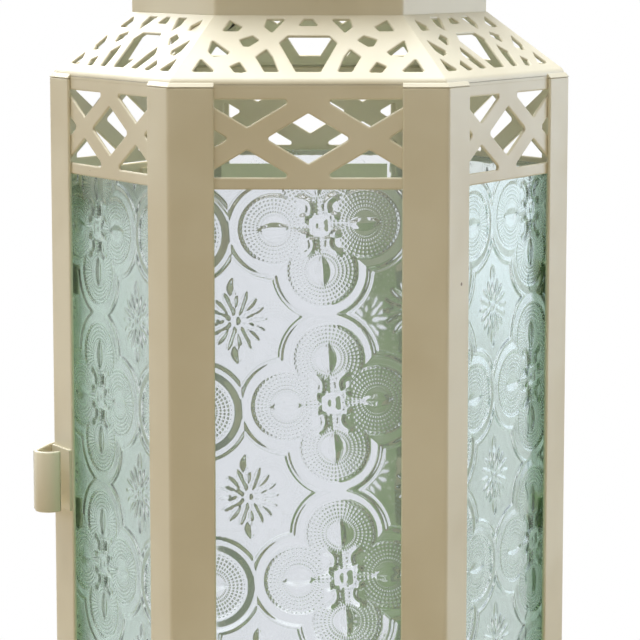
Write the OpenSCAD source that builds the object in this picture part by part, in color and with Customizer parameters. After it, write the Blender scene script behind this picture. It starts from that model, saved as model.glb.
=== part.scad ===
// Hexagonal candle lantern in pierced, painted sheet steel with pressed glass panes.
// Origin: middle of the footprint on the table. +Z up, the front face looks along -Y.
// Faces turn anticlockwise from the front: front, front_right, back_right, back,
// back_left (the door) and front_left.

/* [Body] */
// Distance from the centre line to the outside of a corner post
corner_r = 60; // [50:1:80]
// Height of the corner posts
post_h = 180; // [160:5:220]
// Width of each leg of a bent corner post
post_leg = 9.9; // [8:0.1:11]
// Thickness of the sheet steel
sheet = 0.8; // [0.6:0.1:1]
// Outside radius of the bend in a corner post
bend_r = 1.2; // [1:0.1:2]

/* [Pierced frieze] */
// Height of the plain border above the frieze
frieze_border = 2.6; // [2:0.1:4]
// Height of the pierced band
frieze_h = 16.6; // [14:0.1:18]
// Height of the rail between the frieze and the glass
rail_h = 2.6; // [2:0.1:5]
// Distance between two crossings of the diamond lattice
lattice_pitch = 26.1; // [20:0.1:30]
// Rise of a lattice bar from one crossing to the next
lattice_rise = 7.85; // [6:0.05:9]
// Width of a lattice bar
lattice_bar = 4.2; // [3:0.1:5]
// Radius left by the punch in the corners of an opening
punch_r = 0.5; // [0.2:0.1:0.8]

/* [Roof] */
// Distance from the centre line to a corner at the top of the roof
roof_top_r = 40.9; // [36:0.1:46]
// Height of the roof where its slope would meet the wall
roof_eave = 1.4; // [1:0.1:4]
// Outside radius of the bend between the roof's lip and its slope
eave_bend = 2; // [1.2:0.1:2.4]
// Height of the top of the roof above the posts
roof_h = 14.9; // [12:0.1:24]
// Height of the drum
drum_h = 18; // [16:1:24]
// Radius of the round openings in the drum
drum_hole_r = 5.5; // [4:0.1:6]
// Radius of the dome's curve
dome_r = 36; // [34:0.5:38]

/* [Base] */
// Distance from the centre line to the lower edge of the base skirt, at mid face
base_apothem = 60.5; // [57:0.5:66]
// Height of the base, feet included
base_h = 25; // [22:1:32]
// Height of the feet
foot_h = 6; // [4:1:8]
// Radius of a foot
foot_r = 6; // [4:0.5:7]
// Inside radius of the candle cup
cup_r = 20.7; // [19:0.1:30]
// Height of the candle cup
cup_h = 16; // [10:1:24]

/* [Glass] */
// Thickness of the pressed glass
glass_t = 2.6; // [2:0.1:4]
// Width of a fixed pane
pane_w = 50; // [48:0.5:51]

/* [Door] */
// Radius of the hinge pins
pin_r = 1; // [0.8:0.05:1.3]
// Radial clearance between a pin and its knuckles
pin_gap = 0.05; // [0.02:0.01:0.1]
// Length of one hinge, all its knuckles together
hinge_l = 24; // [18:1:36]
// Height of the spring latch
latch_h = 14.3; // [10:0.1:20]
// Distance of the top of the latch below the tops of the posts
latch_drop = 86; // [70:1:110]
// Outside radius of the curl that the fingers pull
curl_r = 3.3; // [2.6:0.1:4]

/* [Hanging ring] */
// Radius of the wire
wire_r = 1.6; // [1.2:0.1:2]
// Radius of the ring at the middle of the wire
ring_r = 17; // [14:0.5:20]
// Angle between the ring and straight down, where it rests on the dome
ring_rest = 38.5; // [36:0.1:50]

/* [Hidden] */
$fn = 48;
eps = 0.01;
panel_lap = 0.04;

// Body
half_side = corner_r / 2;
body_ap = corner_r * cos(30);
frame_ap = body_ap - sheet;
glass_ap = frame_ap - sheet;
eave_z = base_h + post_h;
frame_half = 28.4;
stile_in = 21.4;
window_z = eave_z - frieze_border - frieze_h;
rail_z = window_z - rail_h;
sill_h = 7;
pane_lap = 1.4;
pane_z = base_h + 0.4;
pane_h = rail_z + pane_lap - pane_z;

// Door: an overlay leaf on the back-left face, a little outside the post legs
door_gap = 0.3;
door_ap = body_ap + door_gap + sheet;
door_x0 = -27.4;
door_x1 = 28;
door_z0 = base_h + 0.8;
door_z1 = rail_z - 0.4;
door_stile = 11;
door_edge = 2;
door_pane_w = 37.6;
door_pane_in = 4;
door_pane_z = door_z0 + door_pane_in;
door_pane_h = door_z1 - door_pane_in - door_pane_z;

// Hinge
hinge_x = -half_side - 0.5;
hinge_y = -(body_ap + 2.04);
knuckle_r = 1.9;
knuckle_l = (hinge_l - 0.6) / 3;
knuckle_step = knuckle_l + 0.3;
leaf_t = 0.7;
upper_hinge_z = 148;
lower_hinge_z = 46;
pin_head_r = 1.7;
pin_head_h = 0.8;

// Latch
latch_z = eave_z - latch_drop - latch_h;
curl_x = half_side + 6.92;
curl_y = -body_ap + 3.42;
strap_y = -(door_ap + sheet / 2);
strap_bend_x = half_side - 0.2;

// Roof, drum and dome
roof_top_ap = roof_top_r * cos(30);
roof_run = frame_ap - roof_top_ap;
roof_rise = roof_h - roof_eave;
roof_slope = atan(roof_rise / roof_run);
drum_z = eave_z + roof_h;
dome_z = drum_z + drum_h;
dome_off = 2;
dome_foot_ap = dome_r + dome_off;

// Finial and ring
finial_seat = 34.8;
finial_z = dome_z + finial_seat;
eye_r = 5.2;
eye_hole_r = 2.6;
eye_t = 3.2;
ball_z = 11;
ball_r = 6;
collar_h = 2.6;
collar_r = 2.6;
stem_z = finial_z + ball_z + ball_r - 1 + collar_h;
eye_z = stem_z + 6;

// Base
skirt_top_ap = body_ap + 0.6;
skirt_z0 = foot_h + sheet;
skirt_z1 = base_h - 1;
skirt_rise = skirt_z1 - skirt_z0;
skirt_run = base_apothem - skirt_top_ap;
skirt_slope = atan(skirt_rise / skirt_run);
skirt_len = norm([skirt_run, skirt_rise]);

IVORY = "#ece6d0";
GLASS = "#bcd8cc88";
STEEL = "silver";

// ---------- shared shapes ----------

// Turns a shape made for the front face to face number i
module on_face(i) {
    rotate([0, 0, 60 * i]) children();
}

// Stands a flat outline (x across, y up) upright, its outer side at the given apothem
module plate(ap, t) {
    translate([0, -ap + t, 0])
        rotate([90, 0, 0])
            linear_extrude(t) children();
}

// The sixth of the body that belongs to the front face, or a hair over so that flat panels join
module sector(z0, z1, over = 0) {
    reach = 120;
    translate([0, over, z0])
        linear_extrude(z1 - z0)
            polygon([[0, 0], [-reach * tan(30), -reach], [reach * tan(30), -reach]]);
}

// Hexagon with flats to the front and back, given its apothem and corner radius
module hexagon(ap, r = 0) {
    if (r > 0)
        offset(r = r, $fn = 24) circle(r = (ap - r) / cos(30), $fn = 6);
    else
        circle(r = ap / cos(30), $fn = 6);
}

// Rounds the inner corners of punched openings
module punched() {
    offset(r = -punch_r, $fn = 16) offset(delta = punch_r) children();
}

// Diagonal bars that cross every lattice_pitch along the middle of a band
module diamond_bars(rise = lattice_rise, bar = lattice_bar) {
    lean = atan(rise / (lattice_pitch / 2));
    for (side = [-1, 1], turn = [-1, 1])
        translate([side * lattice_pitch / 2, 0])
            rotate(turn * lean) square([90, bar], center = true);
}

// ---------- base ----------

module foot() {
    rotate_extrude()
        polygon([[0, 0], [foot_r - 1.6, 0], [foot_r - 0.6, 0.6], [foot_r, 2],
                 [foot_r - 0.4, 3.6], [foot_r - 2, 4.8], [foot_r - 2, foot_h], [0, foot_h]]);
}

module feet() {
    color(IVORY)
        for (k = [0:5])
            rotate([0, 0, 60 * k]) translate([corner_r + 1, 0, 0]) foot();
}

module base_ring() {
    ring_w = 11;
    color(IVORY)
        translate([0, 0, foot_h])
            linear_extrude(sheet)
                difference() {
                    hexagon(base_apothem, bend_r);
                    hexagon(base_apothem - ring_w);
                }
}

// Stands a shape on the slope of one skirt panel: x across, y up the slope, z outwards
module on_skirt(i) {
    on_face(i)
        translate([0, -base_apothem, skirt_z0])
            rotate([skirt_slope, 0, 0]) children();
}

// Everything inside the six planes that lie the given depth under the skirt's outer side
module skirt_block(depth, z0, z1) {
    reach = 90;
    intersection() {
        translate([-reach, -reach, z0]) cube([2 * reach, 2 * reach, z1 - z0]);
        intersection_for (i = [0:5])
            on_skirt(i)
                translate([-2 * reach, -reach, -3 * reach - depth]) cube([4 * reach, 4 * reach, 3 * reach]);
    }
}

// Sloping skirt, each panel pierced with the same diamonds as the frieze
module base_skirt() {
    border = 2.2;
    corner_w = 3;
    color(IVORY)
        difference() {
            skirt_block(0, skirt_z0, skirt_z1);
            skirt_block(sheet, skirt_z0 - 1, skirt_z1 + 1);
            for (i = [0:5])
                on_skirt(i)
                    translate([0, 0, -2 * sheet])
                        linear_extrude(3 * sheet)
                            offset(r = punch_r, $fn = 16) offset(delta = -punch_r)
                                difference() {
                                    translate([-half_side + corner_w, border])
                                        square([2 * (half_side - corner_w), skirt_len - 2 * border]);
                                    translate([0, skirt_len / 2]) diamond_bars();
                                }
        }
}

module floor_plate() {
    lip = 1.4;
    color(IVORY)
        translate([0, 0, skirt_z1])
            linear_extrude(base_h - skirt_z1) hexagon(body_ap + lip, bend_r);
}

module candle_cup() {
    wall = 0.6;
    rim = 0.9;
    color(IVORY)
        translate([0, 0, base_h])
            rotate_extrude($fn = 64) {
                square([cup_r + wall, wall]);
                translate([cup_r, 0]) square([wall, cup_h - rim]);
                translate([cup_r + rim, cup_h - rim]) circle(r = rim, $fn = 24);
            }
}

// ---------- corner posts ----------

// The part of the plan that a post takes at the corner on the +X axis
module post_corner() {
    tip = corner_r - post_leg / 2;
    side = post_leg * sin(60);
    reach = 6;
    out = reach * [cos(30), sin(30)];
    polygon([[corner_r + reach, 0], [tip + out.x, side + out.y], [tip - out.x, side - out.y],
             [tip - out.x, out.y - side], [tip + out.x, -side - out.y]]);
}

module post_outline() {
    intersection() {
        difference() {
            hexagon(body_ap, bend_r);
            hexagon(frame_ap, bend_r - sheet);
        }
        post_corner();
    }
}

module corner_post(k) {
    color(IVORY)
        translate([0, 0, base_h])
            rotate([0, 0, -60 + 60 * k])
                linear_extrude(post_h) post_outline();
}

// ---------- side frames ----------

// Pierced band: four crossing bars in a rectangular window
module frieze_outline(bottom) {
    top = eave_z + 0.2;
    punched() {
        difference() {
            translate([-frame_half, bottom]) square([2 * frame_half, top - bottom]);
            translate([-stile_in, window_z]) square([2 * stile_in, frieze_h]);
        }
        intersection() {
            translate([0, window_z + frieze_h / 2]) diamond_bars();
            translate([-stile_in - 1, window_z - 1]) square([2 * stile_in + 2, frieze_h + 2]);
        }
    }
}

module frame_outline() {
    difference() {
        frieze_outline(base_h);
        translate([-stile_in, base_h + sill_h])
            square([2 * stile_in, rail_z - base_h - sill_h]);
    }
}

module side_frame(i) {
    color(IVORY) on_face(i) plate(frame_ap, sheet) frame_outline();
}

module back_left_frieze() {
    color(IVORY) on_face(4) plate(frame_ap, sheet) frieze_outline(rail_z);
}

// ---------- glass ----------

module side_pane(i) {
    color(GLASS)
        on_face(i)
            plate(glass_ap, glass_t)
                translate([-pane_w / 2, pane_z]) square([pane_w, pane_h]);
}

// A tab soldered to the back of a frame and folded over the edge of its pane
module clip(edge, foot_l) {
    clip_w = 7;
    tab = 0.7;
    hook = 3;
    gap = 0.1;
    x0 = edge + gap;
    linear_extrude(clip_w)
        polygon([[x0, 0], [x0 + foot_l, 0], [x0 + foot_l, tab], [x0 + tab, tab],
                 [x0 + tab, glass_t + gap + tab], [x0 - hook, glass_t + gap + tab],
                 [x0 - hook, glass_t + gap], [x0, glass_t + gap]]);
}

module clip_set(ap, edge, foot_l, heights) {
    for (z = heights, side = [0, 1])
        mirror([side, 0, 0]) translate([0, -ap, z]) clip(edge, foot_l);
}

module pane_clips() {
    foot_l = 2.6;
    heights = [45, 100, 155];
    color(IVORY)
        for (i = [0, 1, 2, 3, 5])
            on_face(i) clip_set(glass_ap, pane_w / 2, foot_l, heights);
}

// Flat stay inside the back pane: an upright on the floor plate and a bar across the top
module back_pane_stay() {
    upright_x = -21.9;
    upright_in = -9.4;
    neck_x = -19.2;
    neck_h = 9;
    bar_x = 22;
    bar_h = 3.8;
    top = rail_z - 1.9;
    color(IVORY)
        on_face(3)
            plate(glass_ap - glass_t, sheet)
                polygon([[upright_x, base_h], [upright_in, base_h], [upright_in, top - bar_h],
                         [bar_x, top - bar_h], [bar_x, top], [neck_x, top],
                         [neck_x, top - neck_h], [upright_x, top - neck_h]]);
}

// ---------- door ----------

module door_frame() {
    open_w = 2 * (half_side - door_edge - door_stile);
    color(IVORY)
        on_face(4)
            plate(door_ap, sheet)
                punched()
                    difference() {
                        translate([door_x0, door_z0]) square([door_x1 - door_x0, door_z1 - door_z0]);
                        translate([-open_w / 2, door_z0 + door_stile])
                            square([open_w, door_z1 - door_z0 - 2 * door_stile]);
                    }
}

module door_pane() {
    color(GLASS)
        on_face(4)
            plate(door_ap - sheet, glass_t)
                translate([-door_pane_w / 2, door_pane_z]) square([door_pane_w, door_pane_h]);
}

// Tabs at the top and bottom edges of the door pane, clear of the posts
module door_clips() {
    foot_l = 2.4;
    places = [-15, 8];
    color(IVORY)
        on_face(4)
            for (x = places, end = [0, 1])
                translate([x, -door_ap + sheet, end == 0 ? door_pane_z : door_pane_z + door_pane_h])
                    mirror([0, 0, end])
                        rotate([0, 90, 0]) clip(0, foot_l);
}

// ---------- hinges ----------

module knuckle(z, n) {
    translate([hinge_x, hinge_y, z + n * knuckle_step]) cylinder(r = knuckle_r, h = knuckle_l);
}

module pin_hole(z) {
    translate([hinge_x, hinge_y, z - 1]) cylinder(r = pin_r + pin_gap, h = hinge_l + 2);
}

// Upper and lower knuckles, with a leaf that lies on the post's back leg
module hinge_post_leaf(z) {
    leaf_w = 8.6;
    reach = 0.6;
    notch_in = 1;
    short = 0.1;
    color(IVORY)
        difference() {
            union() {
                on_face(4)
                    for (n = [0, 2]) knuckle(z, n);
                on_face(3)
                    plate(body_ap + leaf_t, leaf_t)
                        difference() {
                            translate([half_side - leaf_w, z]) square([leaf_w + reach, hinge_l]);
                            translate([half_side - notch_in, z + knuckle_l - short])
                                square([notch_in + 2 * reach, 2 * (knuckle_step + short) - knuckle_l]);
                        }
            }
            on_face(4) pin_hole(z);
        }
}

// Middle knuckle, with a leaf on the outside of the door
module hinge_door_leaf(z) {
    leaf_w = 7.4;
    leaf_x0 = hinge_x + knuckle_r + 0.6;
    color(IVORY)
        on_face(4)
            difference() {
                union() {
                    knuckle(z, 1);
                    translate([hinge_x, -door_ap - leaf_t, z + knuckle_step])
                        cube([leaf_w, leaf_t, knuckle_l]);
                    translate([leaf_x0, -door_ap - leaf_t, z])
                        cube([leaf_w, leaf_t, hinge_l]);
                }
                pin_hole(z);
            }
}

module hinge_pin(z) {
    color(STEEL)
        on_face(4)
            translate([hinge_x, hinge_y, z]) {
                cylinder(r = pin_r, h = hinge_l);
                translate([0, 0, hinge_l]) cylinder(r = pin_head_r, h = pin_head_h);
                translate([0, 0, -pin_head_h]) cylinder(r = pin_head_r, h = pin_head_h);
            }
}

// ---------- latch ----------

// Sheet spring on the door: it passes the left post and rolls up into a finger curl
module door_latch() {
    mid_r = curl_r - sheet / 2;
    to_curl = [curl_x - strap_bend_x, curl_y - strap_y];
    lean = atan2(to_curl.y, to_curl.x) - asin(mid_r / norm(to_curl));
    run = sqrt(norm(to_curl) * norm(to_curl) - mid_r * mid_r);
    foot_l = 8.4;
    lap = 0.2;
    curl_start = lean - 92;
    curl_end = 96;
    color(IVORY)
        on_face(4)
            translate([0, 0, latch_z])
                linear_extrude(latch_h) {
                    translate([strap_bend_x - foot_l, strap_y - sheet / 2])
                        square([foot_l + lap, sheet]);
                    translate([strap_bend_x, strap_y])
                        rotate(lean) translate([0, -sheet / 2]) square([run + lap, sheet]);
                    translate([curl_x, curl_y])
                        intersection() {
                            difference() {
                                circle(r = curl_r);
                                circle(r = curl_r - sheet);
                            }
                            polygon([[0, 0], for (k = [0:6])
                                     let (a = curl_start + k * (curl_end - curl_start) / 6)
                                     2 * curl_r * [cos(a), sin(a)]]);
                        }
                }
}

module latch_keeper() {
    keeper_t = 0.6;
    keeper_w = 9.4;
    color(IVORY)
        on_face(5)
            translate([-half_side + 0.4, -body_ap - keeper_t, latch_z])
                cube([keeper_w, keeper_t, latch_h]);
}

// ---------- roof ----------

// Openings of one half of a roof panel: x from the middle, y up the slope from the eave
roof_openings = [
    [[9.0, 9.9], [11.2, 7.5], [9.3, 3], [6.4, 3], [7.7, 7.4]],
    [[12.0, 14.2], [14.8, 12.9], [14.0, 11.0], [12.8, 10.9], [10.7, 12.8]],
    [[14.7, 5.8], [16.7, 4.5], [15.7, 2.8], [13.1, 2.8]],
    [[9.0, 19.5], [5.1, 19.5], [7.9, 15.3], [9.5, 17.1]],
    [[17.0, 19.2], [14.4, 17.0], [15.3, 15.8], [18.5, 15.8]],
    [[20.7, 12.7], [17.0, 9.0], [17.6, 8.2], [20.3, 7.7], [21.4, 9.2]],
    [[23.0, 6.8], [24.7, 3], [20.1, 3]]
];
roof_keystone = [[4.5, 14.1], [6.15, 11.9], [2.6, 3], [-2.6, 3], [-6.15, 11.9], [-4.5, 14.1]];
roof_top_opening = [[-0.9, 19.5], [0.9, 19.5], [2.1, 17.5], [-2.1, 17.5]];

module roof_pattern() {
    offset(r = punch_r / 2, $fn = 12) offset(delta = -punch_r / 2) {
        polygon(roof_keystone);
        polygon(roof_top_opening);
        for (side = [0, 1], hole = roof_openings)
            mirror([side, 0]) polygon(hole);
    }
}

// Section through the middle of a roof panel: vertical lip, bend and slope
module roof_section(inset) {
    offset(delta = -inset)
        offset(r = eave_bend, $fn = 48)
            offset(delta = -eave_bend)
                polygon([[-20, -10], [frame_ap, -10], [frame_ap, roof_eave],
                         [frame_ap - 2 * roof_run, roof_eave + 2 * roof_rise], [-20, 60]]);
}

module roof_panel() {
    half = half_side + 6;
    difference() {
        intersection() {
            sector(eave_z + 0.2, drum_z, panel_lap);
            translate([half, 0, eave_z])
                rotate([90, 0, -90])
                    linear_extrude(2 * half)
                        difference() {
                            roof_section(0);
                            roof_section(sheet);
                        }
        }
        translate([0, -frame_ap, eave_z + roof_eave])
            rotate([roof_slope, 0, 0])
                translate([0, 0, -2 * sheet])
                    linear_extrude(3 * sheet) roof_pattern();
    }
}

module roof() {
    color(IVORY)
        for (i = [0:5]) on_face(i) roof_panel();
}

// Slanting ears that shed the rain over the tops of the posts
module post_caps() {
    cap_h = 1;
    rim = 0.06;
    top_r = frame_ap / cos(30) + rim;
    color(IVORY)
        for (k = [0:5])
            rotate([0, 0, 60 * k])
                intersection() {
                    translate([0, 0, eave_z])
                        difference() {
                            cylinder(r1 = corner_r, r2 = top_r, h = cap_h, $fn = 6);
                            translate([0, 0, -cap_h]) linear_extrude(3 * cap_h) hexagon(frame_ap);
                        }
                    translate([0, 0, eave_z - cap_h]) linear_extrude(3 * cap_h) post_corner();
                }
}

module drum() {
    hole_x = 9.8;
    hole_up = 3.5;
    color(IVORY)
        difference() {
            translate([0, 0, drum_z])
                linear_extrude(drum_h)
                    difference() {
                        hexagon(roof_top_ap, bend_r);
                        hexagon(roof_top_ap - sheet);
                    }
            for (i = [0:5], side = [-1, 1])
                on_face(i)
                    translate([side * hole_x, -roof_top_ap - 1, drum_z + hole_up + drum_hole_r])
                        rotate([-90, 0, 0]) cylinder(r = drum_hole_r, h = 3);
        }
}

// ---------- dome ----------

// Pointed arch standing on y = 0
module pointed_arch(w, h) {
    arch_r = (w * w / 4 + (h - w / 2) * (h - w / 2)) / w;
    translate([-w / 2, 0]) square([w, w / 2]);
    intersection() {
        translate([-w / 2 + arch_r, w / 2]) circle(r = arch_r);
        translate([w / 2 - arch_r, w / 2]) circle(r = arch_r);
        translate([-w / 2, w / 2 - eps]) square([w, h]);
    }
}

// Places an opening on the dome's curve, at the given angle above its foot
module on_dome(up) {
    punch = 4;
    translate([0, -dome_off, dome_z])
        rotate([-up, 0, 0])
            translate([0, -dome_r - punch / 2, 0])
                rotate([-90, 0, 0])
                    mirror([0, 1, 0]) linear_extrude(punch) children();
}

// Rows of arches: angle above the foot, width, height and distances from the middle of the panel
arch_rows = [
    [6, 5.6, 11, [-12.6, -4.2, 4.2, 12.6]],
    [34, 4.4, 8, [-7.6, 0, 7.6]],
    [55, 3.4, 6, [-3.4, 3.4]]
];

module dome_panel() {
    difference() {
        intersection() {
            sector(dome_z, dome_z + dome_r + 1);
            translate([0, -dome_off, dome_z])
                rotate([0, 90, 0])
                    difference() {
                        cylinder(r = dome_r, h = 60, center = true, $fn = 96);
                        cylinder(r = dome_r - sheet, h = 61, center = true, $fn = 96);
                    }
        }
        for (row = arch_rows, x = row[3])
            on_dome(row[0]) translate([x, 0]) pointed_arch(row[1], row[2]);
    }
}

module dome() {
    cornice = 1.6;
    cornice_out = 1;
    spigot_r = 4;
    color(IVORY)
        difference() {
            union() {
                for (i = [0:5]) on_face(i) dome_panel();
                translate([0, 0, dome_z])
                    linear_extrude(cornice)
                        difference() {
                            hexagon(dome_foot_ap + cornice_out, bend_r);
                            hexagon(roof_top_ap - sheet);
                        }
            }
            translate([0, 0, finial_z - 3]) cylinder(r = spigot_r, h = 8);
        }
}

// ---------- finial and ring ----------

module finial() {
    flange_r = 9;
    flange_z0 = 1.2;
    flange_z1 = 2.6;
    step_z = 3.6;
    neck_r = 3.6;
    neck_z0 = 5;
    neck_z1 = 7;
    spigot_r = 3.9;
    spigot_h = 2;
    color(IVORY)
        translate([0, 0, finial_z])
            rotate_extrude() {
                polygon([[0, flange_z0], [flange_r, flange_z0], [flange_r, flange_z1],
                         [(flange_r + neck_r) / 2, step_z], [neck_r, neck_z0], [neck_r, neck_z1],
                         [0, neck_z1]]);
                square([spigot_r, spigot_h]);
                intersection() {
                    translate([0, ball_z]) circle(r = ball_r);
                    square([ball_r, 2 * ball_z]);
                }
                translate([0, ball_z + ball_r - 1]) square([collar_r, collar_h]);
            }
}

module ring_eye() {
    stem_r = 1.5;
    color(IVORY)
        difference() {
            union() {
                translate([0, 0, eye_z])
                    rotate([0, 90, 0]) cylinder(r = eye_r, h = eye_t, center = true);
                translate([0, 0, stem_z]) cylinder(r = stem_r, h = eye_z - eye_hole_r - 1 - stem_z);
            }
            translate([0, 0, eye_z])
                rotate([0, 90, 0]) cylinder(r = eye_hole_r, h = eye_t + 2, center = true);
        }
}

// Round wire ring: it hangs from the eye and rests on the front of the dome
module hanging_ring() {
    color(IVORY)
        translate([0, 0, eye_z])
            rotate([-ring_rest, 0, 0])
                translate([0, 0, -ring_r])
                    rotate([90, 0, 0])
                        rotate_extrude($fn = 96)
                            translate([ring_r, 0]) circle(r = wire_r, $fn = 32);
}

// ---------- nodes ----------

feet();
base_ring();
base_skirt();
floor_plate();
candle_cup();
corner_post(0);  // front_right_post
corner_post(1);  // right_post
corner_post(2);  // back_right_post
corner_post(3);  // back_left_post
corner_post(4);  // left_post
corner_post(5);  // front_left_post
side_frame(0);  // front_frame
side_frame(1);  // front_right_frame
side_frame(2);  // back_right_frame
side_frame(3);  // back_frame
side_frame(5);  // front_left_frame
back_left_frieze();
side_pane(0);  // front_pane
side_pane(1);  // front_right_pane
side_pane(2);  // back_right_pane
side_pane(3);  // back_pane
side_pane(5);  // front_left_pane
pane_clips();
back_pane_stay();
door_frame();
door_pane();
door_clips();
hinge_post_leaf(upper_hinge_z);  // upper_hinge_post_leaf
hinge_door_leaf(upper_hinge_z);  // upper_hinge_door_leaf
hinge_pin(upper_hinge_z);  // upper_hinge_pin
hinge_post_leaf(lower_hinge_z);  // lower_hinge_post_leaf
hinge_door_leaf(lower_hinge_z);  // lower_hinge_door_leaf
hinge_pin(lower_hinge_z);  // lower_hinge_pin
door_latch();
latch_keeper();
roof();
post_caps();
drum();
dome();
finial();
ring_eye();
hanging_ring();
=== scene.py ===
import math

import bmesh
import bpy
import numpy as np
from mathutils import Matrix, Vector


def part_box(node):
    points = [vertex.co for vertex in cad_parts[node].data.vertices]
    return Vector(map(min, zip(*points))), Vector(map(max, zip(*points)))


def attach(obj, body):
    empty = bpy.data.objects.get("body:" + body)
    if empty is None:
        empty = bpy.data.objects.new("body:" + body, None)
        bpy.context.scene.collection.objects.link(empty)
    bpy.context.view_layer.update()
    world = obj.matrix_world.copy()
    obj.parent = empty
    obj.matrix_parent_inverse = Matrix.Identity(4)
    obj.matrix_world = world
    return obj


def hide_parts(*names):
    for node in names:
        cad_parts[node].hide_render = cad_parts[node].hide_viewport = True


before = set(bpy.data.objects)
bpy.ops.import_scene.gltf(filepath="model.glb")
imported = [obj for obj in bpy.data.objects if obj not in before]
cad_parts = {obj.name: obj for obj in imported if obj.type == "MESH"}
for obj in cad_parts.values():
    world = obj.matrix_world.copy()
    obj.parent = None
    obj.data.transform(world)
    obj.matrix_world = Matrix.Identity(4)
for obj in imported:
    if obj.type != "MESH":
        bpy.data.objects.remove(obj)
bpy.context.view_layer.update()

mm = 0.001
scene = bpy.context.scene
scene.view_settings.view_transform = "Standard"

# Places that everything else is measured from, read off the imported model
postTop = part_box("left_post")[1][2]
faceNames = ["front", "front_right", "back_right", "back", "back_left", "front_left"]

cameraSpot = {
    "right": 2.5 * mm,        # from the centre line
    "away": 646.2 * mm,       # in front of the centre line
    "abovePosts": 29.0 * mm,  # over the tops of the posts
    "lookDown": 7.55,         # degrees
    "lens": 157.1,
    "sensor": 36,             # mm across
    "nearest": 0.01,          # m that still shows
}


def makeCamera():
    data = bpy.data.cameras.new("camera")
    data.sensor_width = cameraSpot["sensor"]
    data.lens = cameraSpot["lens"]
    data.clip_start = cameraSpot["nearest"]
    cam = bpy.data.objects.new("camera", data)
    scene.collection.objects.link(cam)
    cam.location = (cameraSpot["right"], -cameraSpot["away"], postTop + cameraSpot["abovePosts"])
    cam.rotation_euler = (math.radians(90 - cameraSpot["lookDown"]), 0, 0)
    scene.camera = cam


makeCamera()
print("camera ready")


class Signal:
    # one output socket; an expression on it adds Math nodes
    def __init__(self, shader, socket):
        self.shader = shader
        self.socket = socket

    def maths(self, operation, *values):
        return self.shader.node("ShaderNodeMath", {"operation": operation}, *values)

    def __add__(self, other):
        return self.maths("ADD", self, other)

    def __radd__(self, other):
        return self.maths("ADD", other, self)

    def __sub__(self, other):
        return self.maths("SUBTRACT", self, other)

    def __rsub__(self, other):
        return self.maths("SUBTRACT", other, self)

    def __mul__(self, other):
        return self.maths("MULTIPLY", self, other)

    def __rmul__(self, other):
        return self.maths("MULTIPLY", other, self)

    def __truediv__(self, other):
        return self.maths("DIVIDE", self, other)

    def __pow__(self, other):
        return self.maths("POWER", self, other)

    def __abs__(self):
        return self.maths("ABSOLUTE", self)

    def __lt__(self, other):
        return self.maths("LESS_THAN", self, other)

    def __gt__(self, other):
        return self.maths("GREATER_THAN", self, other)

    def least(self, other):
        return self.maths("MINIMUM", self, other)

    def most(self, other):
        return self.maths("MAXIMUM", self, other)

    def fraction(self):
        return self.maths("FRACT", self)

    def sine(self):
        return self.maths("SINE", self)

    def cosine(self):
        return self.maths("COSINE", self)

    def angleOver(self, along):
        return self.maths("ARCTAN2", self, along)

    def rise(self, low, high):
        # 0 below low, 1 above high, smooth between
        return self.shader.node("ShaderNodeMapRange", {"interpolation_type": "SMOOTHSTEP"}, self, low, high)


class Shader:
    def __init__(self, owner):
        owner.use_nodes = True
        self.owner = owner
        self.tree = owner.node_tree
        self.surface = self.tree.nodes.get("Principled BSDF")

    def node(self, kind, settings=None, *values, output=0, **named):
        made = self.tree.nodes.new(kind)
        for key, value in (settings or {}).items():
            setattr(made, key, value)
        for key, value in [*enumerate(values), *named.items()]:
            if value is not None:
                self.feed(made.inputs[key], value)
        return Signal(self, made.outputs[output])

    def feed(self, socket, value):
        if isinstance(value, Signal):
            self.tree.links.new(value.socket, socket)
        else:
            socket.default_value = value

    def set(self, **named):
        for key, value in named.items():
            self.feed(self.surface.inputs[key.replace("_", " ")], value)

    def blend(self, factor, first, second):
        # the Mix node's colours are its inputs 6 and 7
        colours = {"data_type": "RGBA"}
        return self.node("ShaderNodeMix", colours, factor, *[None] * 5, first, second, output=2)

    def spot(self):
        # where the shaded point lies, in the object's own metres
        return self.node("ShaderNodeTexCoord", output="Object")

    def axes(self, vector):
        parts = self.node("ShaderNodeSeparateXYZ", None, vector)
        return [Signal(self, socket) for socket in parts.socket.node.outputs]

    def mark(self, name):
        return self.node("ShaderNodeAttribute", {"attribute_name": name}, output="Fac")

    def noise(self, scale, detail=2.0, spot=None):
        return self.node("ShaderNodeTexNoise", None, Vector=spot or self.spot(), Scale=scale, Detail=detail)

    def cells(self, scale, spot):
        return self.node("ShaderNodeTexVoronoi", None, Vector=spot, Scale=scale)

    def bump(self, height, strength, distance, normal=None):
        return self.node("ShaderNodeBump", None, Height=height, Strength=strength, Distance=distance,
                         Normal=normal)

    def coverSurface(self, factor, cover):
        # cover takes the place of the surface where factor is 1
        own = Signal(self, self.surface.outputs[0])
        mixed = self.node("ShaderNodeMixShader", None, factor, own, cover)
        self.feed(self.tree.nodes["Material Output"].inputs["Surface"], mixed)


def newShader(name):
    return Shader(bpy.data.materials.new(name))


def rgb(red, green, blue):
    # sRGB out of 255, as the linear colour that a socket takes
    def linear(c):
        c = c / 255
        return c / 12.92 if c <= 0.04045 else ((c + 0.055) / 1.055) ** 2.4
    return (linear(red), linear(green), linear(blue), 1)


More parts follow.
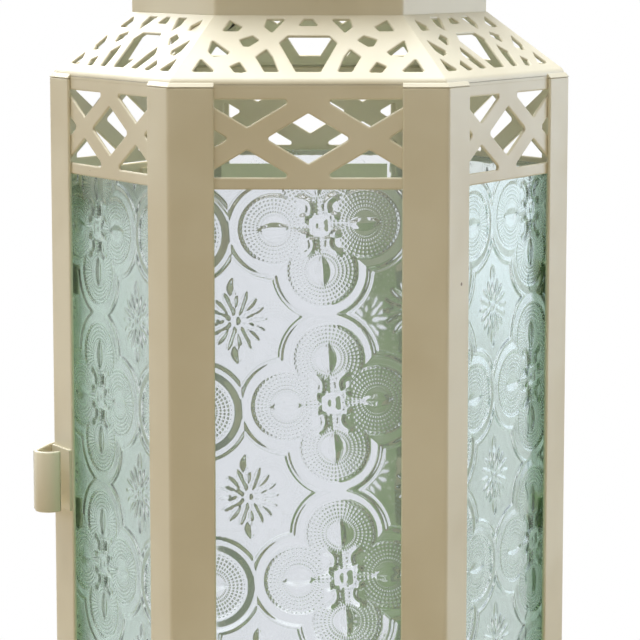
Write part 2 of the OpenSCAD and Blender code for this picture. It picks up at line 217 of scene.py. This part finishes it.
paintLook = {
    "colour": rgb(229, 221, 196),
    "thin": rgb(214, 203, 174),
    "thick": rgb(236, 230, 209),
    "cloudiness": 0.55,      # how much of thin and thick shows
    "clouds": 26.0,          # to a metre, as every count below
    "cloudRange": (0.35, 0.65),
    "speck": rgb(132, 112, 84),
    "specks": 75.0,
    "speckSize": 0.045,
    "speckPatches": 31.0,
    "speckRarity": 0.72,
    "peel": 1500.0,
    "runs": 170.0,
    "peelShare": 0.35,
    "bumpHeight": 0.12 * mm,
    "bumpStrength": 0.16,
    "roughness": 0.42,
    "roughnessRange": 0.12,
    "specular": 0.45,
    "coat": 0.12,
    "coatRoughness": 0.25,
    "edge": 0.28 * mm,       # how far the brush rounds a cut edge
}


def ivoryPaint():
    s = newShader("ivoryPaint")
    spot = s.spot()
    cloud = s.noise(paintLook["clouds"], 3.0, spot).rise(*paintLook["cloudRange"])
    coat = s.blend(cloud, paintLook["thin"], paintLook["thick"])
    colour = s.blend(paintLook["cloudiness"], paintLook["colour"], coat)
    speck = s.cells(paintLook["specks"], spot) < paintLook["speckSize"]
    rare = s.noise(paintLook["speckPatches"], 0.0, spot) > paintLook["speckRarity"]
    colour = s.blend(speck * rare, colour, paintLook["speck"])
    peel = s.noise(paintLook["peel"], 1.0, spot)
    runs = s.noise(paintLook["runs"], 2.0, spot)
    rounded = s.node("ShaderNodeBevel", {"samples": 6}, Radius=paintLook["edge"])
    height = peel * paintLook["peelShare"] + runs * (1 - paintLook["peelShare"])
    normal = s.bump(height, paintLook["bumpStrength"], paintLook["bumpHeight"], rounded)
    roughness = runs * paintLook["roughnessRange"] + paintLook["roughness"]
    s.set(Base_Color=colour, Roughness=roughness, Normal=normal)
    s.set(Specular_IOR_Level=paintLook["specular"], Coat_Weight=paintLook["coat"],
          Coat_Roughness=paintLook["coatRoughness"])
    return s.owner


glassLook = {
    "tint": rgb(236, 238, 241),
    "steepTint": rgb(206, 226, 215),  # where the light takes the long way through
    "steep": (0.05, 0.85),
    "paneShadeTint": rgb(148, 188, 158),   # painted shade beside a post, where the view through the pane is darker
    "shadeLineTint": rgb(34, 54, 44),      # painted dark line along the border of that band
    "line": (1.15, 1.5),
    "flankShadeTint": rgb(106, 126, 108),  # painted shade on the steep sides of the relief
    "flank": (0.35, 1.0),             # slopes at which that tint begins and is full
    "flankShade": 0.3,
    "lampTint": rgb(190, 230, 178),   # what lamps behind it lose
    "roughness": 0.05,
    "beadRoughness": 0.4,
    "softRoughness": 0.3,             # more of it where the sheet was pressed less
    "ior": 1.47,
    "bead": 0.86,                     # mm from one row of beads to the next
    "beads": 44,                      # in a full ring
    "beadHeight": 0.066 * mm,
    "beadShade": 0.10,
    # mm inside the lobe's outline where the rows begin and end, and mm round a curl that they leave free
    "rowsBegin": (1.3, 1.7),
    "rowsEnd": (5.6, 6.4),
    "aroundCurl": (2.6, 3.2),
    "besideCurl": (4.2, 4.8),
    "waves": 240.0,                   # to a metre, on the whole sheet
    "waveShare": 0.25,                # of a bead's height
    "bumpStrength": 0.9,
}
pattern = {
    "pitch": 38.6,           # mm between two quatrefoils, and all lengths below in mm too
    "lobeOff": 9.75,         # from the middle to a lobe's centre
    "lobeRadius": 8.9,
    "curlOff": 3.9,          # from the middle to a curl's centre, both ways
    "ground": 0.62,          # that the ground lies under the pane's outer plane
    "step": 0.30,            # between the points of the modelled sheet
    "probe": 0.08,           # to each side, where the slope is measured
    # section through a quatrefoil's rim: distance outside its outline, height
    "rim": [(-1.75, 0.06), (-1.35, 0.36), (-1.0, 0.35), (0.62, 0.02), (0.8, 0.02), (1.5, 0.42), (1.62, 0.42),
            (2.1, 0.0)],
    # height and radius of the round knobs, in the middle of a quatrefoil and of a daisy
    "knob": (0.40, 1.35),
    "eye": (0.30, 0.9),
    # height or depth, nearest and farthest point and half width of a leaf, and of two kinds of groove
    "leaf": (0.30, 1.6, 6.0, 0.9),
    "lobeGroove": (0.46, 6.4, 13.2, 1.6),
    "daisyGroove": (0.42, 5.0, 9.2, 1.35),
    # depth, radius and half width of the groove round a curl, and where it fades out beside the middle line
    "curlGroove": (0.46, 2.1, 1.15),
    "curlFade": (4.6, 1.2),
    # petals in a ring: how many, nearest and farthest point, half width, share of a step they are turned by
    "petals": [(8, 1.5, 4.7, 0.62, 0.5), (16, 2.8, 6.6, 0.54, 0.0)],
    "petalHeight": 0.38,
    "ripple": 0.02,
}


def pressedGlass():
    s = newShader("pressedGlass")
    uv = s.node("ShaderNodeUVMap", {"uv_map": "pattern"})
    x, y = [abs((f + 0.5).fraction() - 0.5) * pattern["pitch"] for f in s.axes(uv)[:2]]
    off = pattern["lobeOff"]
    toSide = ((x - off) * (x - off) + y * y) ** 0.5
    toTop = (x * x + (y - off) * (y - off)) ** 0.5
    inward = pattern["lobeRadius"] - toSide.least(toTop)
    rows = (inward * (2 * math.pi / glassLook["bead"])).cosine()
    side = toSide < toTop
    along = side * x + (1 - side) * y - off
    across = side * y + (1 - side) * x
    ticks = (across.angleOver(along) * glassLook["beads"]).cosine()
    off = pattern["curlOff"]
    curl = ((x - off) * (x - off) + (y - off) * (y - off)) ** 0.5
    inside = inward.rise(*glassLook["rowsBegin"]) * (1 - inward.rise(*glassLook["rowsEnd"]))
    clearOfCurl = curl.rise(*glassLook["aroundCurl"]).most(x.rise(*glassLook["besideCurl"]))
    inside = inside * clearOfCurl * s.mark("beaded")
    beads = (rows * 0.5 + 0.5) * (ticks * 0.5 + 0.5) * inside
    height = beads + s.noise(glassLook["waves"]) * glassLook["waveShare"]
    normal = s.bump(height, glassLook["bumpStrength"], glassLook["beadHeight"])
    steep = s.node("ShaderNodeLayerWeight", None, Blend=0.5, Normal=normal, output="Facing")
    paneShade = s.mark("paneShade")
    tint = s.blend(steep.rise(*glassLook["steep"]), glassLook["tint"], glassLook["steepTint"])
    # painted shade beside the posts, and a painted dark line along its border
    tint = s.blend(paneShade.least(1.0), tint, glassLook["paneShadeTint"])
    tint = s.blend(paneShade.rise(*glassLook["line"]), tint, glassLook["shadeLineTint"])
    # painted shade on the steep flanks of the relief and in the gaps between the beads
    flank = s.mark("tilt").rise(*glassLook["flank"]) * glassLook["flankShade"]
    dark = flank.most((inside - beads) * glassLook["beadShade"])
    dull = beads * glassLook["beadRoughness"] + s.mark("soft") * glassLook["softRoughness"]
    s.set(Base_Color=s.blend(dark, tint, glassLook["flankShadeTint"]), Roughness=dull + glassLook["roughness"],
          IOR=glassLook["ior"], Transmission_Weight=1.0, Normal=normal)
    # lamps light what stands behind the glass
    clear = s.node("ShaderNodeBsdfTransparent", None, Color=glassLook["lampTint"])
    s.coverSurface(s.node("ShaderNodeLightPath", output="Is Shadow Ray"), clear)
    return s.owner


pinLook = {
    "dark": rgb(150, 146, 138),
    "light": rgb(196, 192, 184),
    "lines": 2600.0,         # to a metre, round the pin
    "stretch": 0.05,         # of the lines along it
    "roughness": 0.28,
    "roughnessRange": 0.2,
}


def pinSteel():
    s = newShader("pinSteel")
    drawn = s.node("ShaderNodeMapping", None, s.spot(), Scale=(1, 1, pinLook["stretch"]))
    lines = s.noise(pinLook["lines"], 2.0, drawn)
    s.set(Base_Color=s.blend(lines, pinLook["dark"], pinLook["light"]),
          Roughness=lines * pinLook["roughnessRange"] + pinLook["roughness"], Metallic=1.0)
    return s.owner


stayLook = {
    # colour, dark and pale are painted shade: the stay's paint made darker and greener, as it looks behind
    # the green glass
    "colour": rgb(194, 208, 164),
    "dark": rgb(166, 184, 136),
    "pale": rgb(230, 234, 214),
    "bar": rgb(226, 230, 204),   # above the glass
    "clouds": 110.0,             # to a metre, as every count below
    "darkEnds": (0.3, 0.5),
    "paleBegins": (0.5, 0.75),
    # painted glints: pale dots in patches, where the glass beads in front catch the light
    "glintDots": 980,
    "dotSize": 0.3,
    "dotPatches": 75.0,
    "dotPatchRange": (0.4, 0.5),
    "glintDotStrength": 0.8,
    "glintSpecks": 60.0,               # small holes outside the daisies, that let white through as painted glints
    "glintSpeckRarity": 0.30,
    "bridges": 230.0,            # metal left standing across the petals
    "bridgeRarity": 0.36,
    "grain": 420.0,
    "grainHeight": 0.2 * mm,
    "grainStrength": 0.4,
    "roughness": 0.4,
    "roughnessRange": 0.2,
    "starX": 13.9 * mm,          # middle of the pierced daisies, from the centre line
    "starDown": 62.9 * mm,       # and of the highest one, below the tops of the posts
    # petals in a ring: how many, nearest and farthest point and half width in mm
    "rings": [(8, 1.3, 4.4, 0.62), (16, 3.0, 6.4, 0.5)],
    "steps": 10,                 # whole ones that keep the folded height above 0
}


def daisyGlints(x, z):
    # 1 inside a petal of the daisy that is nearest to x and z, both in mm; these holes are painted glints of
    # the pane's petals
    z = ((z / pattern["pitch"] + (stayLook["steps"] + 0.5)).fraction() - 0.5) * pattern["pitch"]
    reach = (x * x + z * z) ** 0.5
    angle = z.angleOver(x)
    glintHoles = None
    for count, near, far, wide in stayLook["rings"]:
        sector = 2 * math.pi / count
        lean = ((angle / sector + (2 * stayLook["steps"] + 0.5)).fraction() - 0.5) * sector
        t = (reach - (near + far) / 2) / ((far - near) / 2)
        petal = reach * abs(lean.sine()) < (1 - t * t) * wide
        glintHoles = glintHoles.most(petal) if glintHoles else petal
    return glintHoles


def glintHolePaint():
    # the stay behind the glass, with a daisy cut out at every step of the pane's pattern: the holes let the
    # white behind show through as painted glints of the pane's petals
    s = newShader("glintHolePaint")
    spot = s.spot()
    places = s.axes(spot)
    x = places[0] / mm - stayLook["starX"] / mm
    z = places[2] / mm - (postTop - stayLook["starDown"]) / mm
    below = z < pattern["pitch"] / 2
    cloud = s.noise(stayLook["clouds"], 3.0, spot)
    colour = s.blend(cloud.rise(*stayLook["paleBegins"]), stayLook["colour"], stayLook["pale"])
    colour = s.blend(cloud.rise(*stayLook["darkEnds"]), stayLook["dark"], colour)
    # painted glints of the glass beads in front, as pale dots in patches
    glintDots = s.cells(stayLook["glintDots"], spot) < stayLook["dotSize"]
    patches = s.noise(stayLook["dotPatches"], 1.0, spot).rise(*stayLook["dotPatchRange"])
    colour = s.blend(glintDots * patches * stayLook["glintDotStrength"], colour, stayLook["pale"])
    # painted shade below the bar, where the stay stands behind the glass; the bar above keeps a paler colour
    colour = s.blend(below, stayLook["bar"], colour)
    # painted glints: small holes and daisy holes show the white behind through the stay
    glintSpecks = s.noise(stayLook["glintSpecks"], 0.0, spot) < stayLook["glintSpeckRarity"]
    glintHoles = glintSpecks.most(daisyGlints(x, z))
    cut = s.noise(stayLook["bridges"], 1.0, spot) > stayLook["bridgeRarity"]
    grain = s.noise(stayLook["grain"], 2.0, spot)
    roughness = cloud * stayLook["roughnessRange"] + stayLook["roughness"]
    s.set(Base_Color=colour, Roughness=roughness, Alpha=1 - glintHoles * cut * below,
          Normal=s.bump(grain, stayLook["grainStrength"], stayLook["grainHeight"]))
    return s.owner


paint = ivoryPaint()
glass = pressedGlass()
steel = pinSteel()
glintHoled = glintHolePaint()
print("materials ready")

# CAD nodes keep their shape and take the finishes
for name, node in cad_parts.items():
    finish = glass if name.endswith("_pane") else steel if name.endswith("_pin") else paint
    if name == "back_pane_stay":
        finish = glintHoled
    node.data.materials.clear()
    node.data.materials.append(finish)

edgeLook = {
    "width": 0.39 * mm,
    "steps": 3,
    "sharp": 45,             # degrees
    "flat": 0.5,             # degrees up to which facets are one face
    "weld": 0.002 * mm,
    "roofWeld": 0.12 * mm,   # closes the laps along the hips
}


def easeEdges(name):
    # cut sheet gets the small round edge that paint leaves
    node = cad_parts[name]
    weld = node.modifiers.new("weld", "WELD")
    weld.merge_threshold = edgeLook["roofWeld" if name == "roof" else "weld"]
    flat = node.modifiers.new("flat", "DECIMATE")
    flat.decimate_type = "DISSOLVE"
    flat.angle_limit = math.radians(edgeLook["flat"])
    ease = node.modifiers.new("ease", "BEVEL")
    ease.width = edgeLook["width"]
    ease.segments = edgeLook["steps"]
    ease.limit_method = "ANGLE"
    ease.angle_limit = math.radians(edgeLook["sharp"])
    ease.use_clamp_overlap = False
    ease.harden_normals = True


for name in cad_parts:
    if name.endswith(("_post", "_frame", "_frieze")) or name in ("roof", "base_skirt", "door_latch"):
        easeEdges(name)


def ontoFace(index):
    # what is built on the front face goes to another face
    return Matrix.Rotation(math.radians(60 * index), 4, "Z")


def finishPiece(name, mesh, body, finish):
    data = bpy.data.meshes.new(name)
    mesh.to_mesh(data)
    mesh.free()
    data.materials.append(finish)
    piece = bpy.data.objects.new(name, data)
    scene.collection.objects.link(piece)
    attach(piece, body)
    return piece


eaveBead = {
    "low": -0.25 * mm,       # from the tops of the posts
    "high": 0.6 * mm,
    "depth": 0.3 * mm,
    "sunk": 0.006 * mm,      # under the paint on both sides of it
}


def makeEaveBead():
    # paint that has run into the joint between the roof and the friezes
    outer = -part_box("front_frame")[0][1] - eaveBead["sunk"]
    corner = outer / math.cos(math.radians(30))
    tall = eaveBead["high"] - eaveBead["low"]
    mesh = bmesh.new()
    bmesh.ops.create_cone(mesh, segments=6, radius1=corner, radius2=corner, depth=tall)
    bmesh.ops.solidify(mesh, geom=mesh.faces[:], thickness=eaveBead["depth"])
    bmesh.ops.recalc_face_normals(mesh, faces=mesh.faces)
    turn = Matrix.Rotation(math.radians(30), 4, "Z")
    lift = Matrix.Translation((0, 0, postTop + (eaveBead["high"] + eaveBead["low"]) / 2))
    bmesh.ops.transform(mesh, matrix=lift @ turn, verts=mesh.verts)
    finishPiece("eave_paint_bead", mesh, "lantern", paint)


makeEaveBead()
print("paint details ready")

# Where a quatrefoil's middle lies on each face, in mm from the middle and from the post tops,
# the degrees by which the sheet was turned when it was cut, and how fully it was pressed
paneCuts = {
    "front": (5.0, -68.2, 3.95, 1.0),
    "front_right": (16.0, -68.2, 2.4, 0.58),
    "back_right": (-6.0, -60.0, -1.5, 0.58),
    "back": (9.0, -75.0, 1.0, 0.58),
    "back_left": (-3.0, -66.0, -2.0, 0.58),
    "front_left": (-8.8, -72.2, 1.0, 0.58),
}

# Where painted shade darkens a pane beside a post: mm from its middle where that begins and is full, how
# much of it
paneShadeSides = {
    "front_left": (14.0, -12.0, 0.42),
    "front_right": (14.6, 15.4, 0.82),
}
# Its border winds: mm to the side, mm of height to a radian, and radians at the post tops
paneShadeBorder = {
    "waves": [(0.45, 1.9, 0.0), (0.35, 0.83, 1.0), (0.3, 4.1, 0.0)],
    "lineFrom": 0.5,         # amount above which a painted dark line runs along the border
    "lineWidth": 0.75,
    "lineDepth": 1.7,
    "breaks": [2.6, 1.1],    # mm of height to a radian of the line's gaps
    "unbroken": 0.6,
}

# Where the front pane thins towards its left edge: mm from its middle where that begins and is full, mm lost
thinEdge = {"begin": -15.0, "full": -21.0, "height": 0.36}


def hump(t):
    # 1 at 0 and 0 from 1 on
    return np.clip(1 - t * t, 0, None) ** 2


def paneShading(face, x, z):
    # 0 to 1 of painted shade, and above 1 on the painted dark line along the border of a full band
    if face not in paneShadeSides:
        return 0 * x
    begin, full, amount = paneShadeSides[face]
    past = x + sum(side * np.sin(z / length + start) for side, length, start in paneShadeBorder["waves"]) - begin
    band = amount * np.clip(past / (full - begin), 0, 1)
    if amount < paneShadeBorder["lineFrom"]:
        return band
    gaps = paneShadeBorder["unbroken"] + sum(np.sin(z / length) for length in paneShadeBorder["breaks"])
    line = hump(past / paneShadeBorder["lineWidth"]) * np.clip(gaps, 0, 1)
    return np.maximum(band, paneShadeBorder["lineDepth"] * line)


def thinning(face, x):
    t = (x - thinEdge["begin"]) / (thinEdge["full"] - thinEdge["begin"])
    return thinEdge["height"] * np.clip(t, 0, 1) ** 2 * (face == "front")


def leaf(along, aside, near, far, wide):
    # pointed lens between near and far, 1 along its middle line and 0 at its rim
    t = (along - (near + far) / 2) / ((far - near) / 2)
    half = wide * np.clip(1 - t * t, 0.001, None)  # it divides, so it never reaches 0
    return np.clip(1 - np.abs(aside) / half, 0, None) * (np.abs(t) < 1)


def petals(reach, turn, count, near, far, wide, phase):
    sector = 2 * math.pi / count
    lean = turn / sector + phase
    lean = lean - np.round(lean)
    aside = reach * np.sin(np.abs(lean) * sector)
    return pattern["petalHeight"] * np.sqrt(leaf(reach, aside, near, far, wide))


def relief(px, pz):
    # height in mm of the quatrefoil and daisy pattern at a point of the sheet
    pitch = pattern["pitch"]
    ax = np.abs(px - pitch * np.round(px / pitch))
    ay = np.abs(pz - pitch * np.round(pz / pitch))
    off = pattern["lobeOff"]
    outward = np.minimum(np.hypot(ax - off, ay), np.hypot(ax, ay - off)) - pattern["lobeRadius"]
    along = np.maximum(ax, ay)
    aside = np.minimum(ax, ay)
    curl = np.hypot(ax - pattern["curlOff"], ay - pattern["curlOff"])
    fx = pitch / 2 - ax
    fy = pitch / 2 - ay
    reach = np.hypot(fx, fy)
    turn = np.arctan2(fy, fx)
    knobHigh, knobWide = pattern["knob"]
    eyeHigh, eyeWide = pattern["eye"]
    leafHigh, *leafShape = pattern["leaf"]
    raised = [
        knobHigh * hump(np.hypot(ax, ay) / knobWide),
        leafHigh * np.sqrt(leaf(along, aside, *leafShape)),
        *[petals(reach, turn, *ring) for ring in pattern["petals"]],
        eyeHigh * hump(reach / eyeWide),
    ]
    high = np.maximum.reduce([np.interp(outward, *zip(*pattern["rim"])), *raised])
    # grooves with a sharp bottom
    lobeDeep, *lobeShape = pattern["lobeGroove"]
    daisyDeep, *daisyShape = pattern["daisyGroove"]
    curlDeep, curlRadius, curlWide = pattern["curlGroove"]
    fadeOut, fadeWide = pattern["curlFade"]
    high -= lobeDeep * leaf(along, aside, *lobeShape)
    high -= daisyDeep * leaf(fy, fx, *daisyShape)
    high -= curlDeep * hump((curl - curlRadius) / curlWide) * np.clip((fadeOut - ax) / fadeWide, 0, 1)
    # slow ripples of the rolled sheet
    ripple = np.sin(px / 2.1 + 1.3 * np.sin(pz / 5.3)) + np.sin(pz / 2.7 + px / 6.1)
    return high + pattern["ripple"] * ripple


def slope(px, pz):
    d = pattern["probe"]
    across = relief(px + d, pz) - relief(px - d, pz)
    upward = relief(px, pz + d) - relief(px, pz - d)
    return np.hypot(across, upward) / (2 * d)


def onSheet(face, x, z):
    # a point of the face, in mm on the sheet that its pane was cut from
    midX, midZ, turned, _ = paneCuts[face]
    c = math.cos(math.radians(turned))
    s = math.sin(math.radians(turned))
    dx = x / mm - midX
    dz = (z - postTop) / mm - midZ
    return c * dx + s * dz, c * dz - s * dx


def closeSheet(mesh, inner):
    # gives the patterned sheet its edges and its plain inner side
    patterned = set(mesh.faces)
    walls = bmesh.ops.extrude_edge_only(mesh, edges=[e for e in mesh.edges if e.is_boundary])["geom"]
    for v in [g for g in walls if isinstance(g, bmesh.types.BMVert)]:
        v.co.y = inner
    bmesh.ops.holes_fill(mesh, edges=[e for e in mesh.edges if e.is_boundary], sides=0)
    bmesh.ops.recalc_face_normals(mesh, faces=mesh.faces)
    for f in mesh.faces:
        f.smooth = f in patterned


def markPane(face, data, marks):
    # the pattern's own coordinates, and what the glass's finish reads off the sheet
    spots = np.empty(len(data.vertices) * 3)
    data.vertices.foreach_get("co", spots)
    corner = np.empty(len(data.loops), dtype=np.int32)
    data.loops.foreach_get("vertex_index", corner)
    spots = spots.reshape(-1, 3)[corner]
    px, pz = onSheet(face, spots[:, 0], spots[:, 2])
    uv = data.uv_layers.new(name="pattern")
    uv.uv.foreach_set("vector", np.column_stack((px, pz)).ravel() / pattern["pitch"])
    for mark, amounts in marks.items():
        everywhere = np.zeros(len(data.vertices))
        everywhere[:len(amounts)] = amounts
        data.attributes.new(mark, "FLOAT", "POINT").data.foreach_set("value", everywhere)


def makePane(face, cad, body):
    low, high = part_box(cad)
    turn = ontoFace(faceNames.index(face))
    corners = [turn.inverted() @ v.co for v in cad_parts[cad].data.vertices]
    wide = 2 * max(c.x for c in corners)
    outer = min(c.y for c in corners)
    inner = max(c.y for c in corners)
    tall = high[2] - low[2]
    middle = (high[2] + low[2]) / 2
    pressed = paneCuts[face][3]
    step = pattern["step"] * mm
    mesh = bmesh.new()
    bmesh.ops.create_grid(mesh, x_segments=int(wide / step), y_segments=int(tall / step), size=0.5)
    flat = np.array([v.co[:2] for v in mesh.verts])
    x = flat[:, 0] * wide
    z = flat[:, 1] * tall + middle
    px, pz = onSheet(face, x, z)
    # plain at the edge, in full 1 mm inside it
    edge = np.minimum(wide / 2 - np.abs(x), tall / 2 - np.abs(z - middle))
    rise = pressed * relief(px, pz) * np.clip(edge / mm, 0, 1)
    y = outer + (pattern["ground"] - rise + thinning(face, x / mm)) * mm
    for v, place in zip(mesh.verts, np.column_stack((x, y, z)).tolist()):
        v.co = place
    marks = {
        "tilt": slope(px, pz) * pressed,
        "paneShade": paneShading(face, x / mm, (z - postTop) / mm),
        "beaded": pressed + 0 * x,
    }
    closeSheet(mesh, inner)
    marks["soft"] = np.full(len(mesh.verts), 1 - pressed)
    pane = finishPiece(face + "_pressed_pane", mesh, body, glass)
    markPane(face, pane.data, marks)
    pane.data.transform(turn)
    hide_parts(cad)


for face in faceNames:
    if face == "back_left":
        makePane(face, "door_pane", "door")
    else:
        makePane(face, face + "_pane", "lantern")
print("glass panes ready")

studio = {
    "world": 0.22,
    "worldTint": (1.0, 0.91, 0.72, 1),
    "floor": rgb(236, 236, 236),
    "floorCloud": rgb(232, 232, 232),
    "floorClouds": 60.0,              # to a metre
    "floorRoughness": 0.7,
    "floorRadius": 30,                # m
    "bounce": rgb(177, 162, 134),     # what the floor throws back onto the lantern
    "shadow": (0.10, 0.27),           # m from the lantern: the shadow shows up to here, then pure white
    "aim": (0, 0, 0.15),              # the point that every lamp faces
}
lampLook = {
    "topLamp": {"place": (-0.14, -0.01, 1.35), "size": 0.9, "watts": 22.5, "colour": (0.95, 0.97, 0.98)},
    "leftLamp": {"place": (-0.95, 0.28, 0.72), "size": 0.8, "watts": 2.0, "colour": (0.90, 0.95, 1.1)},
    "rightLamp": {"place": (1.05, 0.45, 0.24), "size": 0.8, "watts": 5.4, "colour": (0.79, 0.94, 1.14)},
    "backLamp": {"place": (-0.48, 1.08, 0.85), "size": 0.8, "watts": 11.0, "colour": (0.94, 0.97, 1)},
}


def makeLamps():
    for name, look in lampLook.items():
        data = bpy.data.lights.new(name, "AREA")
        data.size = look["size"]
        data.energy = look["watts"]
        data.color = look["colour"]
        lamp = bpy.data.objects.new(name, data)
        scene.collection.objects.link(lamp)
        lamp.location = look["place"]
        aim = Vector(studio["aim"]) - Vector(look["place"])
        lamp.rotation_euler = aim.to_track_quat("-Z", "Y").to_euler()
        lamp.visible_camera = False
        lamp.visible_transmission = False


def seenDirectly(s):
    # 1 for the camera and for what it sees in glass or metal
    rays = ("Is Camera Ray", "Is Glossy Ray", "Is Transmission Ray")
    camera, glossy, through = [s.node("ShaderNodeLightPath", output=ray) for ray in rays]
    return camera.most(glossy).most(through)


def makeWorld():
    scene.world = bpy.data.worlds.new("studioWorld")
    s = Shader(scene.world)
    background = s.tree.nodes["Background"]
    direct = seenDirectly(s)
    s.feed(background.inputs["Color"], s.blend(direct, studio["worldTint"], (1, 1, 1, 1)))
    s.feed(background.inputs["Strength"], direct * (1 - studio["world"]) + studio["world"])


def makeFloor():
    mesh = bmesh.new()
    bmesh.ops.create_circle(mesh, cap_ends=True, segments=96, radius=studio["floorRadius"])
    data = bpy.data.meshes.new("floor")
    mesh.to_mesh(data)
    mesh.free()
    s = newShader("paleFloor")
    reach = s.node("ShaderNodeVectorMath", {"operation": "LENGTH"}, s.spot(), output=1)
    direct = seenDirectly(s)
    pale = s.blend(s.noise(studio["floorClouds"], 3.0), studio["floorCloud"], studio["floor"])
    s.set(Base_Color=s.blend(direct, studio["bounce"], pale), Roughness=studio["floorRoughness"])
    s.coverSurface(direct * reach.rise(*studio["shadow"]), s.node("ShaderNodeEmission"))
    data.materials.append(s.owner)
    floor = bpy.data.objects.new("floor", data)
    scene.collection.objects.link(floor)


makeLamps()
makeWorld()
makeFloor()
print("studio ready")
